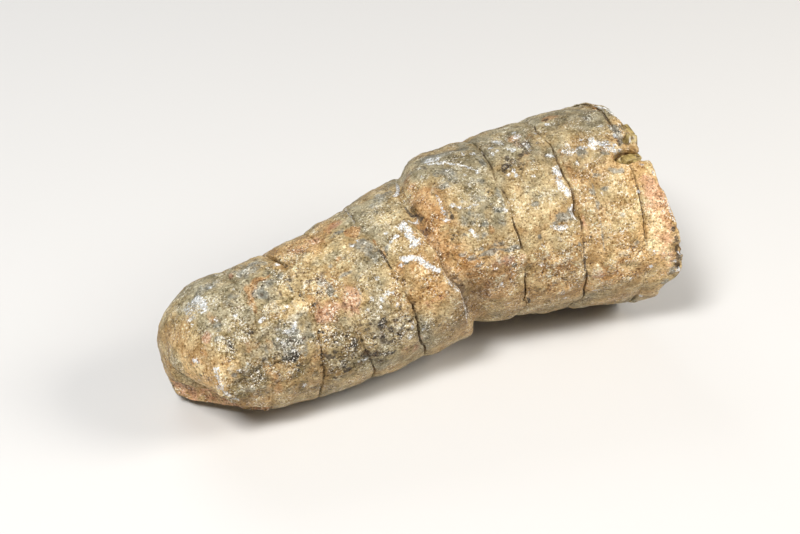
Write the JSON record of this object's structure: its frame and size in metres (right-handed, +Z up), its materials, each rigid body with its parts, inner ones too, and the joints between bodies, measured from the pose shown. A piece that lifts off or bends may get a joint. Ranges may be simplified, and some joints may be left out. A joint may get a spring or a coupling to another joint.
{
  "type": "orthocone fossil",
  "caption": "Stone cast of a straight, tapering chambered shell lying on its side, with suture grooves, a shifted break across the middle, a domed narrow end and a dished wide end.",
  "frame": {"origin": "bottom centre of the bounding box, on the surface the cast lies on", "axes": "+X along the cast from the narrow domed end to the wide dished end, +Z up, -Y the more finely preserved side"},
  "size_m": [0.1, 0.0434, 0.042],
  "materials": {
    "limestone": "raw, mottled tan, ochre and grey limestone with calcite specks"
  },
  "bodies": {
    "root": {"fossil_cast": "limestone"}
  },
  "joints": []
}
